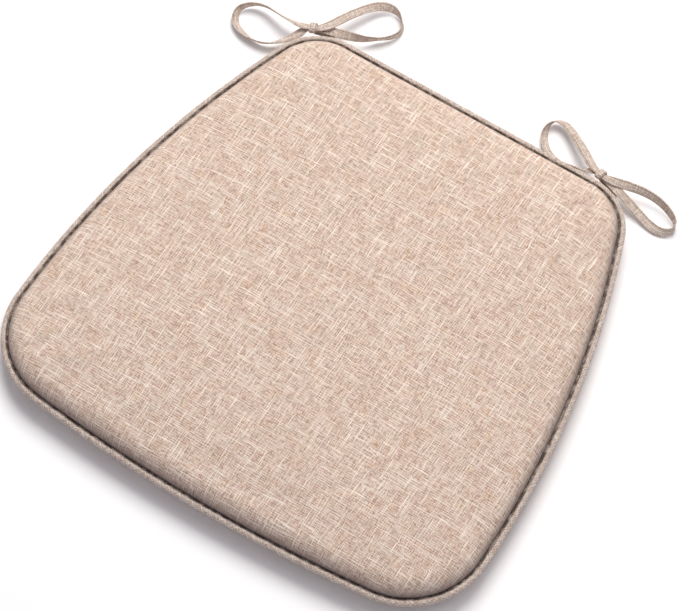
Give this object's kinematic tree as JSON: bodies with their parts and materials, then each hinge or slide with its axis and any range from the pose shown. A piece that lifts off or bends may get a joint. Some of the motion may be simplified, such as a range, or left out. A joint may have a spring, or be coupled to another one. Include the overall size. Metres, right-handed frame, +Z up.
{
  "type": "seat cushion",
  "caption": "Thin tapered chair-seat cushion in a zipped, piped linen-look cover, with a fabric tie in a bow at each back corner.",
  "frame": {"origin": "middle of the cushion's footprint, without its ties, on the surface that it lies on", "axes": "+X to the cushion's right seen from its front edge, +Y towards the back edge with the ties, +Z up"},
  "size_m": [0.429, 0.4596, 0.0391],
  "materials": {
    "top_fabric": "cross-hatched linen-look polyester, matt",
    "under_fabric": "the same cloth on the underside and wall, matt",
    "piping_fabric": "the same cloth cut on the bias round a cord, matt",
    "tie_fabric": "folded and top-stitched strap of the same cloth, matt",
    "foam": "open-cell polyurethane foam",
    "filler_cord": "soft twisted cotton filler cord",
    "zip_tape": "fine woven polyester zip tape",
    "zip_coil": "nylon monofilament coil, satin",
    "zip_metal": "nickel-plated zinc, lightly polished",
    "label": "blank satin ribbon, soft sheen",
    "thread": "spun polyester sewing thread"
  },
  "bodies": {
    "cushion": {"foam_core": "foam", "top_cover": "top_fabric", "bottom_cover": "under_fabric", "piping_cover": "piping_fabric", "piping_cord": "filler_cord", "zip_tape_upper": "zip_tape", "zip_tape_lower": "zip_tape", "zip_coil_upper": "zip_coil", "zip_coil_lower": "zip_coil", "zip_top_stop_upper": "zip_metal", "zip_top_stop_lower": "zip_metal", "zip_bottom_stop": "zip_metal", "care_label": "label", "tie_left_root": "tie_fabric", "tie_left_bartack": "thread", "tie_right_root": "tie_fabric", "tie_right_bartack": "thread"},
    "zip_slider": {"zip_slider": "zip_metal"},
    "zip_pull": {"zip_pull": "zip_metal"},
    "tie_left": {"tie_left_knot": "tie_fabric", "tie_left_strap_1": "tie_fabric", "tie_left_strap_2": "tie_fabric"},
    "tie_right": {"tie_right_knot": "tie_fabric", "tie_right_strap_1": "tie_fabric", "tie_right_strap_2": "tie_fabric"}
  },
  "joints": [
    {"name": "zip_slide", "type": "slide", "parent": "cushion", "child": "zip_slider", "axis": [1, 0, 0], "range_m": [0, 0.18]},
    {"name": "zip_pull_flip", "type": "hinge", "parent": "zip_slider", "child": "zip_pull", "pos_m": [-0.0894, 0.201, 0.01], "axis": [0, 0, 1], "range_deg": [0, 175]},
    {"name": "tie_left_swing", "type": "hinge", "parent": "cushion", "child": "tie_left", "pos_m": [-0.13138, 0.20145, 0.0096], "axis": [0.8412, 0.5408, 0], "range_deg": [0, 30]},
    {"name": "tie_right_swing", "type": "hinge", "parent": "cushion", "child": "tie_right", "pos_m": [0.13138, 0.20145, 0.0096], "axis": [0.9924, -0.1231, 0], "range_deg": [0, 30]}
  ]
}
